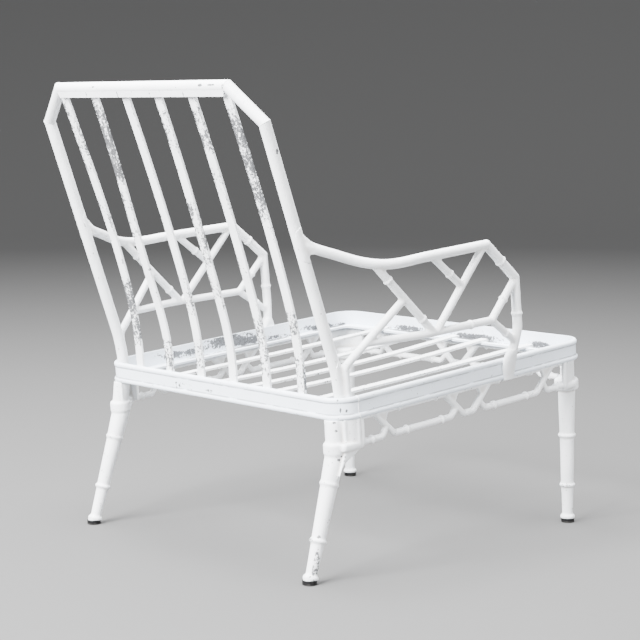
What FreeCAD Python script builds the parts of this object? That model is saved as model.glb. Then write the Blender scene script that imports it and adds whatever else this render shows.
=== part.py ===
import FreeCAD, Part
import math
import os

Vector = FreeCAD.Vector
Rotation = FreeCAD.Rotation
Placement = FreeCAD.Placement

os.makedirs("parts", exist_ok=True)

# Seat rim, measured in its own sloping plane
SEAT_WIDTH = 664.0
SEAT_DEPTH = 648.0
SEAT_FRONT_HEIGHT = 360.0
SEAT_SLOPE = 4.5
RIM_CORNER_R = 45.0
RIM_HEIGHT = 38.0
RIM_FIELD_INSET = 3.0
RIM_LIP_INSET = 4.0
RIM_INNER_INSET = 8.0
TOP_BEAD_HEIGHT = 9.0
TOP_BEAD_INSET = 1.0
BOTTOM_BEAD_HEIGHT = 9.0
LEDGE_DROP = 28.0
LEDGE_THICKNESS = 4.0
LEDGE_WIDTH = 24.0

# Flat bars of the seat
BAR_WIDTH = 19.0
BAR_THICKNESS = 4.0
SEAT_BAR_INNER_X = 79.0
SEAT_BAR_OUTER_X = 196.0
SEAT_BAR_MIDDLE_SAG = 7.0
SEAT_BAR_INNER_SAG = 6.0
SEAT_BAR_OUTER_SAG = 2.0
SEAT_BAR_END_CLEARANCE = 2.0

# Flat bars of the back, each sprung forward of a straight line
BACK_BAR_SIDE_MARGIN = 104.0
BACK_BAR_BOWS = (16.4, 14.8, 12.5, 15.2, 8.6, 18.4)
BACK_BAR_BOW_PLACE = 0.32
BACK_BAR_LOWER_RUN = 41.0
BACK_BAR_TOP_ANGLE = 22.4
BACK_BAR_END_MARGIN = 7.4

# Back frame tubes
STILE_DIAMETER = 20.4
STILE_CORNER_ANGLE = 47.6
STILE_CORNER_CLEARANCE = 0.4
STILE_BEND_R = 270.0
STILE_LOWER_RUN = 16.2
BACK_ANGLE = 20.18
STILE_LEAN = 0.5
TOP_TUBE_HEIGHT = 830.6
ELBOW_DROP = 59.6
TOP_STRIP_DROP = 14.6
TOP_STRIP_THICKNESS = 19.2

# Arm rods
ARM_RAIL_R = 8.5
ROD_MAIN_R = 7.0
ROD_LOWER_R = 6.8
ROD_SIDE_R = 6.7
ROD_SMALL_R = 6.5
ROD_KNOT_R = 7.4
RING_RISE = 1.9
RING_HALF_WIDTH = 2.8
POST_BEND_R = 55.0
BRACE_BEND_R = 14.0
LOWER_RAIL_BEND_R = 150.0

# Arm path: offsets from its root on the stile and from its foot on the rim
ARM_ROOT_RISE = 243.6
ARM_RAIL_OFFSETS = (
    (9.3, -27.0, -13.0),
    (19.3, -57.5, -23.0),
    (34.3, -98.5, -36.2),
    (45.8, -130.5, -42.4),
    (51.3, -166.5, -43.9),
    (52.3, -208.5, -40.6),
    (50.8, -258.5, -35.8),
)
ARM_FOOT_Y = -104.0
ARM_TOP_OFFSET = (16.8, 86.7, 211.2)
ARM_SHOULDER_OFFSET = (14.0, 6.2, 147.9)
ARM_KNEE_OFFSET = (14.0, -3.8, 55.4)
ARM_TOE_OFFSET = (6.0, 1.0, 8.0)
ARM_KEY_OFFSET = (16.6, 70.4, 75.0)
LOWER_RAIL_BEND_OFFSET = (3.9, 172.0, -10.0)
BRACE_SIDE = 10.2
BRACE_BEND_RISE = 79.0
BRACE_FOOT_FORWARD = 11.0
ARM_DIAGONAL_PLACE = 142.5
FORK_START = 2.5

# Where the arm rods meet each other, as shares of the rod they meet
DIAGONAL_FOOT_SHARE = 0.116
STRUT_TOP_SHARE = 0.962
STRUT_FOOT_SHARE = 0.152
SHORT_TOP_SHARE = 0.015
SHORT_FOOT_SHARE = 0.475
BRACE_TOP_SHARE = 0.502
LOWER_START_SHARE = 0.345
SPUR_END_SHARE = 0.527
LOWER_RING_SHARE = 0.67
POST_RING_SHARE = 0.71
SHOULDER_RING_SHARE = 0.5
DIAGONAL_RING_SHARES = (0.233, 0.80)
SHORT_RING_SHARES = (0.60,)
FORK_RING_SHARES = (0.50,)
SPUR_RING_SHARES = (0.60,)

# Web at the root of the arm rail
ROOT_WEB_RISE = 24.0
ROOT_WEB_REACH = 50.0
ROOT_WEB_THICKNESS = 13.0

# Tongue that laps the arm post onto the rim
TONGUE_RISE = 16.0
TONGUE_LAP = 2.5
TONGUE_OUTSETS = (7.4, 3.0, -0.5, -1.5)
TONGUE_OFFSETS = (0.6, 3.0, 4.5, 5.0)
TONGUE_HALF_BREADTHS = (9.4, 15.0, 16.0, 14.0)
TONGUE_HALF_DEPTHS = (9.0, 8.5, 7.0, 5.0)

# Frets of bent rod under the rim, placed from the middle or from the ends
FRET_SET_BACK = 9.0
FRET_TOP_ROD_R = 3.2
FRET_TOP_ROD_SINK = 1.0
FRET_KEY_R = 6.0
FRET_RUN_R = 5.7
FRET_HOOK_R = 5.5
FRET_RUN_RISE = 1.9
FRET_HOOK_RISE = 1.5
FRET_START_RISE = 18.0
FRET_BEND_R = 10.0
FRET_HOOK_BEND_R = 9.0
FRET_KEY_TOP = 56.0
FRET_KEY_FOOT = 13.0
FRET_RUN_START = 28.0
FRET_RUN_FOOT = 45.0
FRET_RUN_END_INSET = 74.6
FRET_RUN_TOP_INSET = 31.2
FRET_HOOK_START_INSET = 56.5
FRET_HOOK_FOOT_INSET = 46.5
FRET_INNER_RING = 69.0
FRET_OUTER_RING_INSET = 105.5
FRET_INNER_TOP_RING = 82.0
FRET_OUTER_TOP_RING_INSET = 88.5
FRET_HOOK_RING_INSET = 20.5
FRET_RING_RISE = 2.4
FRET_RING_HALF_WIDTH = 3.0
FRET_GUSSET_THICKNESS = 7.0
FRET_GUSSET_REACH = 32.0
FRET_GUSSET_DROP = 20.0

# Corner brackets that carry the legs
BRACKET_SIDE_SET_BACK = 3.0
BRACKET_FRONT_SET_BACK = 7.0
BRACKET_WALL = 7.0
BRACKET_REAR_CORNER_R = 42.0
BRACKET_FRONT_CORNER_R = 52.0
BRACKET_HEIGHT = 39.0
BRACKET_REAR_LENGTH = 46.0
BRACKET_FRONT_LENGTH = 65.0
BRACKET_FRONT_WALL_LENGTH = 58.0
BRACKET_REAR_SIDE_LENGTH = 55.9
BRACKET_FRONT_SIDE_LENGTH = 67.1
BRACKET_FLANGE_REACH = 27.0
BRACKET_FLANGE_THICKNESS = 6.0
BRACKET_BEAD_R = 4.0
BRACKET_BEAD_SINK = 2.0
BRACKET_REAR_BEADS = (4.0, 12.5, 39.0)
BRACKET_FRONT_BEADS = (4.0, 39.0)
BRACKET_POST_R = 15.1
BRACKET_POST_LEAN_X = 3.2
BRACKET_POST_LEAN_Y = 5.8
COLLAR_HEIGHT = 14.0
COLLAR_SET_BACK = 2.0
COLLAR_DEPTH = 14.0
COLLAR_END_R = 6.5
COLLAR_END_REACH = 3.0
COLLAR_LIP = 7.0
COLLAR_HEAD_RISE = 1.2
COLLAR_REAR_HEAD_R = 19.2
COLLAR_FRONT_HEAD_R = 22.5
COLLAR_ROLL_R = 5.0

# Legs and glides
REAR_LEG_TOP_R = 17.0
FRONT_LEG_TOP_R = 16.2
LEG_UPPER_RING_R = 16.8
LEG_UPPER_RING_Z = 171.0
REAR_LEG_UPPER_R = 14.9
FRONT_LEG_UPPER_R = 13.6
LEG_LOWER_RING_R = 15.0
LEG_LOWER_RING_Z = 74.0
LEG_LOWER_R = 11.7
LEG_FOOT_R = 9.7
LEG_FOOT_RING_R = 13.6
LEG_FOOT_RING_INSET = 0.8
LEG_FOOT_RING_HEIGHT = 8.0
LEG_RING_HALF_WIDTH = 3.2
LEG_RING_STEP = 0.4
REAR_LEG_INSET_X = 29.8
REAR_LEG_INSET_Y = 9.0
REAR_LEG_SPLAY = 64.06
REAR_LEG_SPREAD = 5.6
FRONT_LEG_INSET_X = 28.0
FRONT_LEG_INSET_Y = 31.6
FRONT_LEG_SPLAY = 8.85
HAUNCH_OUTSET = 22.3
HAUNCH_THICKNESS = 11.0
HAUNCH_HEAD_SINK = 5.0
HAUNCH_CURVE = ((-37.4, 5.0), (-26.0, -2.1), (-12.4, -7.9), (-2.0, -14.2), (4.6, -21.2), (9.5, -29.7))
HAUNCH_FOOT = (14.0, -38.0)
HAUNCH_HEAD_END = -6.0
GLIDE_R = 12.7
GLIDE_HEIGHT = 8.0
GLIDE_EDGE_R = 1.6
GLIDE_STEM_R = 5.0
GLIDE_STEM_HEIGHT = 7.0
GLIDE_STEM_CLEARANCE = 0.2
GLIDE_STEM_END_CLEARANCE = 1.0

# Spare lengths that only reach past a cut
BIG = 2000.0
SPARE = 25.0

slope = math.radians(SEAT_SLOPE)
half_width = SEAT_WIDTH / 2.0
half_depth = SEAT_DEPTH / 2.0
corner_x = half_width - RIM_CORNER_R
corner_y = half_depth - RIM_CORNER_R
collar_top = -RIM_HEIGHT - BRACKET_HEIGHT
collar_bottom = collar_top - COLLAR_HEIGHT
collar_middle = (collar_top + collar_bottom) / 2.0
lip_bottom = collar_bottom - COLLAR_LIP
rim_centre_height = SEAT_FRONT_HEIGHT - half_depth * math.sin(slope)
seat_turn = Rotation(Vector(1, 0, 0), -SEAT_SLOPE)
seat_frame = Placement(Vector(0, 0, rim_centre_height), seat_turn)
up_axis = Vector(0, 0, 1)
seat_up = seat_turn.multVec(up_axis)
nodes = {}


def from_seat(x, y, z):
    return seat_frame.multVec(Vector(x, y, z))


def seat_direction(x, y, z):
    return seat_turn.multVec(Vector(x, y, z))


def set_on_seat(shape):
    placed = shape.copy()
    placed.transformShape(seat_frame.toMatrix(), True)
    return placed


def mirrored(shape):
    return shape.mirror(Vector(0, 0, 0), Vector(1, 0, 0))


def joined(shapes):
    whole = shapes[0].multiFuse(shapes[1:])
    return whole.removeSplitter()


def largest(shape):
    return sorted(shape.Solids, key=lambda solid: solid.Volume)[-1]


def outline_face(edges):
    return Part.Face(Part.Wire(edges))


def between(start, end, share):
    return start + (end - start) * share


# A large block that fills the side of a plane its normal points to
def beyond(point, normal):
    block = Part.makeBox(BIG, BIG, BIG, Vector(-BIG / 2, -BIG / 2, 0))
    block.Placement = Placement(point, Rotation(up_axis, normal))
    return block


def rod(start, end, radius):
    return Part.makeCylinder(radius, start.distanceToPoint(end), start, end - start)


# The start, middle and end of a rounded corner
def rounding(here, corner, there, radius):
    toward_here = (here - corner).normalize()
    toward_there = (there - corner).normalize()
    half = toward_here.getAngle(toward_there) / 2.0
    reach = radius / math.tan(half)
    inward = (toward_here + toward_there).normalize()
    middle = corner + inward * (radius / math.sin(half) - radius)
    return corner + toward_here * reach, middle, corner + toward_there * reach


# Straight runs joined by rounded bends
def bent_path(points, radius):
    edges = []
    last = points[0]
    for here, corner, there in zip(points, points[1:], points[2:]):
        start, middle, end = rounding(here, corner, there, radius)
        edges.append(Part.makeLine(last, start))
        edges.append(Part.Arc(start, middle, end).toShape())
        last = end
    edges.append(Part.makeLine(last, points[-1]))
    return Part.Wire(edges)


def swept(path, radius):
    first = path.Edges[0]
    start = first.valueAt(first.FirstParameter)
    along = first.tangentAt(first.FirstParameter)
    section = Part.Wire(Part.makeCircle(radius, start, along))
    return path.makePipeShell([section], True, False)


def bent_rod(points, radius, bend_radius):
    return swept(bent_path(points, bend_radius), radius)


# A flat plate whose corners have their own roundings
def rounded_plate(corners, radii, height):
    arcs = []
    for place, radius in enumerate(radii):
        after = corners[(place + 1) % len(corners)]
        arcs.append(rounding(corners[place - 1], corners[place], after, radius))
    edges = []
    for place, (start, middle, end) in enumerate(arcs):
        edges.append(Part.Arc(start, middle, end).toShape())
        edges.append(Part.makeLine(end, arcs[(place + 1) % len(arcs)][0]))
    return outline_face(edges).extrude(Vector(0, 0, height))


# A raised bamboo ring, round in section
def ring_on(point, axis, rod_radius, rise, half_breadth):
    outer = rod_radius + rise
    core = (outer ** 2 - rod_radius ** 2 - half_breadth ** 2) / (2.0 * rise)
    return Part.makeTorus(core, outer - core, point, axis)


def arm_ring(start, end, share, radius):
    return ring_on(between(start, end, share), end - start, radius, RING_RISE, RING_HALF_WIDTH)


def ringed_rod(start, end, radius, ring_shares):
    pieces = [rod(start, end, radius)]
    for share in ring_shares:
        pieces.append(arm_ring(start, end, share, radius))
    return joined(pieces)


# Rim section: inset runs inward from the outermost line, height down from the top
def rim_section(place):
    field_top = -TOP_BEAD_HEIGHT
    field_bottom = -RIM_HEIGHT + BOTTOM_BEAD_HEIGHT
    low_middle = -RIM_HEIGHT + BOTTOM_BEAD_HEIGHT / 2
    ledge_bottom = -LEDGE_DROP - LEDGE_THICKNESS
    ledge_end = RIM_INNER_INSET + LEDGE_WIDTH
    lip = place(RIM_LIP_INSET, 0)
    field_start = place(RIM_FIELD_INSET, field_top)
    field_end = place(RIM_FIELD_INSET, field_bottom)
    heel = place(RIM_FIELD_INSET, -RIM_HEIGHT)
    inner = [
        heel,
        place(RIM_INNER_INSET, -RIM_HEIGHT),
        place(RIM_INNER_INSET, ledge_bottom),
        place(ledge_end, ledge_bottom),
        place(ledge_end, -LEDGE_DROP),
        place(RIM_INNER_INSET, -LEDGE_DROP),
        place(RIM_INNER_INSET, 0),
        lip,
    ]
    edges = [Part.Arc(lip, place(TOP_BEAD_INSET, field_top / 2), field_start).toShape()]
    edges.append(Part.makeLine(field_start, field_end))
    edges.append(Part.Arc(field_end, place(0, low_middle), heel).toShape())
    for first, second in zip(inner, inner[1:]):
        edges.append(Part.makeLine(first, second))
    return outline_face(edges)


def side_section(y):
    return rim_section(lambda inset, z: Vector(half_width - inset, y, z))


def cross_section(sign):
    return rim_section(lambda inset, z: Vector(-corner_x, sign * (half_depth - inset), z))


side_rail = side_section(-corner_y).extrude(Vector(0, 2 * corner_y, 0))
front_corner = side_section(-corner_y).revolve(Vector(corner_x, -corner_y, 0), up_axis, -90)
rear_corner = side_section(corner_y).revolve(Vector(corner_x, corner_y, 0), up_axis, 90)
front_rail = cross_section(-1).extrude(Vector(2 * corner_x, 0, 0))
rear_rail = cross_section(1).extrude(Vector(2 * corner_x, 0, 0))

# Seat rim in two lengths that meet behind the side rails
front_pieces = [front_rail, front_corner, mirrored(front_corner), side_rail, mirrored(side_rail)]
nodes["seat_rim_front"] = set_on_seat(joined(front_pieces))
nodes["seat_rim_rear"] = set_on_seat(joined([rear_rail, rear_corner, mirrored(rear_corner)]))


# Seat bars, dished a little and resting on the ledge
def seat_bar(x, sag):
    bar_end = half_depth - RIM_INNER_INSET - SEAT_BAR_END_CLEARANCE
    flat_end = half_depth - RIM_INNER_INSET - LEDGE_WIDTH
    low = -LEDGE_DROP
    high = low + BAR_THICKNESS
    side = x - BAR_WIDTH / 2

    def at(y, z):
        return Vector(side, y, z)
    edges = [
        Part.makeLine(at(-bar_end, low), at(-flat_end, low)),
        Part.Arc(at(-flat_end, low), at(0, low - sag), at(flat_end, low)).toShape(),
        Part.makeLine(at(flat_end, low), at(bar_end, low)),
        Part.makeLine(at(bar_end, low), at(bar_end, high)),
        Part.makeLine(at(bar_end, high), at(flat_end, high)),
        Part.Arc(at(flat_end, high), at(0, high - sag), at(-flat_end, high)).toShape(),
        Part.makeLine(at(-flat_end, high), at(-bar_end, high)),
        Part.makeLine(at(-bar_end, high), at(-bar_end, low)),
    ]
    return outline_face(edges).extrude(Vector(BAR_WIDTH, 0, 0))


seat_bars = [
    (-SEAT_BAR_OUTER_X, SEAT_BAR_OUTER_SAG),
    (-SEAT_BAR_INNER_X, SEAT_BAR_INNER_SAG),
    (0.0, SEAT_BAR_MIDDLE_SAG),
    (SEAT_BAR_INNER_X, SEAT_BAR_INNER_SAG),
    (SEAT_BAR_OUTER_X, SEAT_BAR_OUTER_SAG),
]
for number, (x, sag) in enumerate(seat_bars, 1):
    nodes["seat_bar_%d" % number] = set_on_seat(seat_bar(x, sag))

# Back stiles: upright in the rim corner, then bent back to the rake
rake = math.radians(BACK_ANGLE)
rake_direction = Vector(0, math.sin(rake), math.cos(rake))
stile_r = STILE_DIAMETER / 2.0
corner_reach = RIM_CORNER_R - RIM_INNER_INSET - stile_r - STILE_CORNER_CLEARANCE
corner_turn = math.radians(STILE_CORNER_ANGLE)
stile_x = corner_x + corner_reach * math.cos(corner_turn)
stile_y = corner_y + corner_reach * math.sin(corner_turn)
stile_foot = from_seat(stile_x, stile_y, -LEDGE_DROP)
stile_turn = STILE_BEND_R * math.tan((rake - slope) / 2.0)
stile_knee = stile_foot + seat_up * (STILE_LOWER_RUN + stile_turn)
stile_direction = Rotation(Vector(0, 1, 0), -STILE_LEAN).multVec(rake_direction)
elbow_reach = (TOP_TUBE_HEIGHT - ELBOW_DROP - stile_knee.z) / stile_direction.z
elbow = stile_knee + stile_direction * elbow_reach
bar_count = len(BACK_BAR_BOWS)
bar_pitch = (SEAT_WIDTH - 2 * BACK_BAR_SIDE_MARGIN) / (bar_count - 1)
top_corner_x = (bar_count - 1) / 2.0 * bar_pitch + BACK_BAR_END_MARGIN
top_rise = ELBOW_DROP / rake_direction.z
top_corner = Vector(top_corner_x, elbow.y + top_rise * rake_direction.y, TOP_TUBE_HEIGHT)
corner_direction = (top_corner - elbow).normalize()
elbow_plane = (stile_direction + corner_direction).normalize()
under_ledge = beyond(from_seat(0, 0, -LEDGE_DROP), -seat_up)
stile_points = [stile_foot - seat_up * SPARE, stile_knee, elbow + stile_direction * SPARE]
stile = bent_rod(stile_points, stile_r, STILE_BEND_R)
stile = stile.cut(beyond(elbow, elbow_plane)).cut(under_ledge)
nodes["back_stile_left"] = stile
nodes["back_stile_right"] = mirrored(stile)

# Sloping corner tubes with mitred ends
across = Vector(-1, 0, 0)
corner_plane = (corner_direction + across).normalize()
corner_tube = rod(elbow - corner_direction * SPARE, top_corner + corner_direction * SPARE, stile_r)
corner_tube = corner_tube.cut(beyond(elbow, -elbow_plane)).cut(beyond(top_corner, corner_plane))
nodes["back_corner_left"] = corner_tube
nodes["back_corner_right"] = mirrored(corner_tube)

# Top tube with the strip below it that takes the bars
top_middle = Vector(0, top_corner.y, top_corner.z)
top_far = Vector(-top_corner.x, top_corner.y, top_corner.z)
top_tube = rod(top_corner - across * SPARE, top_far + across * SPARE, stile_r)
strip_length = 2 * (top_corner_x + SPARE)
strip_start = Vector(-strip_length / 2, -TOP_STRIP_THICKNESS / 2, -TOP_STRIP_DROP)
strip = Part.makeBox(strip_length, TOP_STRIP_THICKNESS, TOP_STRIP_DROP, strip_start)
strip.Placement = Placement(top_middle, Rotation(Vector(1, 0, 0), -BACK_ANGLE))
far_plane = Vector(-corner_plane.x, corner_plane.y, corner_plane.z)
top_rail = joined([top_tube, strip])
top_rail = top_rail.cut(beyond(top_corner, -corner_plane)).cut(beyond(top_far, -far_plane))
top_rail = top_rail.cut(corner_tube).cut(mirrored(corner_tube))
nodes["back_top_rail"] = largest(top_rail)

# Back bars: flat against the rear rail below, then sprung up to the strip
bar_top_angle = math.radians(BACK_BAR_TOP_ANGLE)
bar_top_direction = Vector(0, math.sin(bar_top_angle), math.cos(bar_top_angle))
bar_foot = from_seat(0, half_depth - RIM_INNER_INSET - BAR_THICKNESS / 2, -LEDGE_DROP)
bar_knee = bar_foot + seat_up * BACK_BAR_LOWER_RUN
bar_top = top_middle - rake_direction * TOP_STRIP_DROP
bar_chord = bar_top - bar_knee
bar_forward = Vector(0, -bar_chord.z, bar_chord.y).normalize()
above_strip = beyond(bar_top, rake_direction)
bar_knee_forward = seat_direction(0, -1, 0)
bar_top_forward = Vector(0, -bar_top_direction.z, bar_top_direction.y)


# One face of a bar from knee to top, a half thickness off its middle line
def bar_face_curve(sprung, offset):
    points = [
        bar_knee + bar_knee_forward * offset,
        sprung + bar_forward * offset,
        bar_top + bar_top_forward * offset,
    ]
    curve = Part.BSplineCurve()
    curve.interpolate(Points=points, InitialTangent=seat_up, FinalTangent=bar_top_direction)
    return curve.toShape()


def back_bar(bow):
    half = BAR_THICKNESS / 2
    sprung = bar_knee + bar_chord * BACK_BAR_BOW_PLACE + bar_forward * bow
    bar_tip = bar_top + bar_top_direction * SPARE
    edges = [Part.makeLine(bar_foot - bar_knee_forward * half, bar_foot + bar_knee_forward * half)]
    for offset in (half, -half):
        low = bar_knee_forward * offset
        high = bar_top_forward * offset
        edges.append(Part.makeLine(bar_foot + low, bar_knee + low))
        edges.append(bar_face_curve(sprung, offset))
        edges.append(Part.makeLine(bar_top + high, bar_tip + high))
    edges.append(Part.makeLine(bar_tip + bar_top_forward * half, bar_tip - bar_top_forward * half))
    strip = outline_face(Part.__sortEdges__(edges)).extrude(Vector(BAR_WIDTH, 0, 0))
    strip.translate(Vector(-BAR_WIDTH / 2, 0, 0))
    return strip.cut(above_strip)


for number, bow in enumerate(BACK_BAR_BOWS):
    bar = back_bar(bow)
    bar.translate(Vector((number - (bar_count - 1) / 2.0) * bar_pitch, 0, 0))
    bar = bar.cut(corner_tube).cut(mirrored(corner_tube))
    nodes["back_bar_%d" % (number + 1)] = largest(bar)


# Fret of bent rods, drawn along the rail with its middle at zero
def fret_local(half_length):
    low_z = collar_middle + FRET_RUN_RISE
    hook_z = collar_middle + FRET_HOOK_RISE
    start_z = collar_middle + FRET_START_RISE
    top_z = -RIM_HEIGHT - FRET_TOP_ROD_R + FRET_TOP_ROD_SINK
    run_top = half_length - FRET_RUN_TOP_INSET
    past_end = half_length + SPARE

    def at(along, z):
        return Vector(0, along, z)

    def fret_ring(along, z, radius):
        return ring_on(at(along, z), Vector(0, 1, 0), radius, FRET_RING_RISE, FRET_RING_HALF_WIDTH)

    def gusset(sign, top):
        inner = top - FRET_GUSSET_REACH
        low = -RIM_HEIGHT - FRET_GUSSET_DROP
        outline = [
            (top, -RIM_HEIGHT),
            (inner, -RIM_HEIGHT),
            (inner + FRET_GUSSET_DROP / 2, low),
            (top - FRET_GUSSET_DROP, low),
        ]
        points = [Vector(-FRET_GUSSET_THICKNESS / 2, sign * along, z) for along, z in outline]
        plate = Part.Face(Part.makePolygon(points + [points[0]]))
        return plate.extrude(Vector(FRET_GUSSET_THICKNESS, 0, 0))

    key = [
        at(-FRET_KEY_TOP, top_z),
        at(-FRET_KEY_FOOT, low_z),
        at(FRET_KEY_FOOT, low_z),
        at(FRET_KEY_TOP, top_z),
    ]
    pieces = [rod(at(-past_end, top_z), at(past_end, top_z), FRET_TOP_ROD_R)]
    pieces.append(bent_rod(key, FRET_KEY_R, FRET_BEND_R))
    for sign in (1, -1):
        run = [
            at(sign * FRET_RUN_START, start_z),
            at(sign * FRET_RUN_FOOT, low_z),
            at(sign * (half_length - FRET_RUN_END_INSET), low_z),
            at(sign * run_top, top_z),
        ]
        hook = [
            at(sign * (half_length - FRET_HOOK_START_INSET), start_z),
            at(sign * (half_length - FRET_HOOK_FOOT_INSET), hook_z),
            at(sign * past_end, hook_z),
        ]
        pieces.append(bent_rod(run, FRET_RUN_R, FRET_BEND_R))
        pieces.append(bent_rod(hook, FRET_HOOK_R, FRET_HOOK_BEND_R))
        for place in (FRET_INNER_RING, half_length - FRET_OUTER_RING_INSET):
            pieces.append(fret_ring(sign * place, low_z, FRET_RUN_R))
        for place in (FRET_INNER_TOP_RING, half_length - FRET_OUTER_TOP_RING_INSET):
            pieces.append(fret_ring(sign * place, top_z, FRET_TOP_ROD_R))
        pieces.append(fret_ring(sign * (half_length - FRET_HOOK_RING_INSET), hook_z, FRET_HOOK_R))
        pieces.append(gusset(sign, FRET_KEY_TOP))
        pieces.append(gusset(sign, run_top))
    whole = joined(pieces)
    whole = whole.cut(beyond(Vector(0, 0, -RIM_HEIGHT), up_axis))
    whole = whole.cut(beyond(at(half_length, 0), Vector(0, 1, 0)))
    return whole.cut(beyond(at(-half_length, 0), Vector(0, -1, 0)))


rear_reach = half_depth - BRACKET_REAR_SIDE_LENGTH
front_reach = half_depth - BRACKET_FRONT_SIDE_LENGTH
side_fret = fret_local((rear_reach + front_reach) / 2.0)
side_fret.translate(Vector(half_width - FRET_SET_BACK, (rear_reach - front_reach) / 2.0, 0))
side_fret = set_on_seat(side_fret)
nodes["fret_left"] = side_fret
nodes["fret_right"] = mirrored(side_fret)
front_fret = fret_local(half_width - BRACKET_FRONT_LENGTH)
front_fret.rotate(Vector(0, 0, 0), up_axis, 90)
front_fret.translate(Vector(0, -half_depth + FRET_SET_BACK, 0))
nodes["fret_front"] = set_on_seat(front_fret)

# Arm rail, swept from the stile with a web at its root
root_reach = (rim_centre_height + ARM_ROOT_RISE - stile_knee.z) / stile_direction.z
arm_root = stile_knee + stile_direction * root_reach
rail_points = [arm_root] + [arm_root + Vector(*offset) for offset in ARM_RAIL_OFFSETS]
arm_foot = from_seat(half_width, ARM_FOOT_Y, 0)
arm_top = arm_foot + Vector(*ARM_TOP_OFFSET)
arm_shoulder = arm_foot + Vector(*ARM_SHOULDER_OFFSET)
arm_knee = arm_foot + Vector(*ARM_KNEE_OFFSET)
arm_toe = arm_foot + Vector(*ARM_TOE_OFFSET)
rail_curve = Part.BSplineCurve()
rail_end = (arm_top - rail_points[-1]).normalize()
rail_start = (rail_points[1] - rail_points[0]).normalize()
rail_curve.interpolate(Points=rail_points, InitialTangent=rail_start, FinalTangent=rail_end)
rail_straight = Part.makeLine(rail_points[-1], arm_top + rail_end * SPARE)
rail_tube = swept(Part.Wire([rail_curve.toShape(), rail_straight]), ARM_RAIL_R)
web_normal = stile_direction.cross(rail_start).normalize()
web_start = arm_root - web_normal * (ROOT_WEB_THICKNESS / 2)
web_points = [
    web_start + stile_direction * ROOT_WEB_RISE,
    web_start + rail_start * ROOT_WEB_REACH,
    web_start - stile_direction * ROOT_WEB_RISE,
]
web_face = Part.Face(Part.makePolygon(web_points + [web_points[0]]))
web = web_face.extrude(web_normal * ROOT_WEB_THICKNESS)
chamfer_direction = (arm_shoulder - arm_top).normalize()
post_direction = (arm_knee - arm_shoulder).normalize()
arm_top_plane = (rail_end + chamfer_direction).normalize()
shoulder_plane = (chamfer_direction + post_direction).normalize()
arm_rail = joined([rail_tube, web]).cut(beyond(arm_top, arm_top_plane)).cut(stile)

# Sloping shoulder of the arm
shoulder_start = arm_top - chamfer_direction * SPARE
shoulder_rod = rod(shoulder_start, arm_shoulder + chamfer_direction * SPARE, ARM_RAIL_R)
shoulder_ring = arm_ring(arm_top, arm_shoulder, SHOULDER_RING_SHARE, ARM_RAIL_R)
arm_corner = joined([shoulder_rod, shoulder_ring])
arm_corner = arm_corner.cut(beyond(arm_top, -arm_top_plane))
arm_corner = arm_corner.cut(beyond(arm_shoulder, shoulder_plane))


# Post of the arm, flattened into a tongue on the outside of the rim
def tongue_section(level, outset, offset, half_breadth, half_thickness):
    centre = from_seat(half_width + outset, ARM_FOOT_Y + offset, level)
    tip = centre + seat_direction(0, half_breadth, 0)
    return Part.Wire(Part.Ellipse(tip, centre + Vector(half_thickness, 0, 0), centre).toShape())


post_start = arm_shoulder - post_direction * SPARE
post_tube = bent_rod([post_start, arm_knee, arm_toe], ARM_RAIL_R, POST_BEND_R)
post_ring = arm_ring(arm_shoulder, arm_knee, POST_RING_SHARE, ARM_RAIL_R)
tongue_levels = (TONGUE_RISE, 0.0, -RIM_HEIGHT / 2, -RIM_HEIGHT - TONGUE_LAP)
tongue_places = zip(tongue_levels, TONGUE_OUTSETS, TONGUE_OFFSETS)
tongue_sizes = zip(TONGUE_HALF_BREADTHS, TONGUE_HALF_DEPTHS)
tongue_sections = [tongue_section(*place, *size) for place, size in zip(tongue_places, tongue_sizes)]
tongue = Part.makeLoft(tongue_sections, True, False)
core_width = 2 * (half_width - RIM_FIELD_INSET)
core_start = Vector(-core_width / 2, -half_depth, -1.5 * RIM_HEIGHT)
rim_core = set_on_seat(Part.makeBox(core_width, SEAT_DEPTH, 2 * RIM_HEIGHT, core_start))
arm_post = joined([post_tube, tongue, post_ring]).cut(beyond(arm_shoulder, -shoulder_plane))
arm_post = arm_post.cut(nodes["seat_rim_front"]).cut(rim_core).cut(side_fret)

# Lattice rods of the arm, each fitted against those before it
key_point = arm_foot + Vector(*ARM_KEY_OFFSET)
lower_bend = key_point + Vector(*LOWER_RAIL_BEND_OFFSET)
diagonal_top = rail_curve.value(rail_curve.parameterAtDistance(ARM_DIAGONAL_PLACE))
diagonal_foot = between(lower_bend, key_point, DIAGONAL_FOOT_SHARE)
brace_top = between(diagonal_top, diagonal_foot, BRACE_TOP_SHARE)
brace_bend = stile_foot + Vector(BRACE_SIDE, 0, BRACE_BEND_RISE)
brace_foot = from_seat(stile_x + BRACE_SIDE, stile_y - BRACE_FOOT_FORWARD, -LEDGE_DROP)
lower_start = between(brace_bend, brace_top, LOWER_START_SHARE)
strut_top = between(rail_points[-1], arm_top, STRUT_TOP_SHARE)
strut_foot = between(lower_bend, key_point, STRUT_FOOT_SHARE)
short_top = between(rail_points[-1], arm_top, SHORT_TOP_SHARE)
short_foot = between(strut_top, strut_foot, SHORT_FOOT_SHARE)
fork_top = arm_shoulder + post_direction * FORK_START
spur_end = between(arm_knee, arm_toe, SPUR_END_SHARE)
lower_rail = joined([
    bent_rod([lower_start, lower_bend, key_point], ROD_LOWER_R, LOWER_RAIL_BEND_R),
    arm_ring(lower_bend, key_point, LOWER_RING_SHARE, ROD_LOWER_R),
    Part.makeSphere(ROD_KNOT_R, key_point),
])
diagonal = ringed_rod(diagonal_top, diagonal_foot, ROD_MAIN_R, DIAGONAL_RING_SHARES)
brace = bent_rod([brace_top, brace_bend, brace_foot - seat_up * SPARE], ROD_SIDE_R, BRACE_BEND_R)
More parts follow.
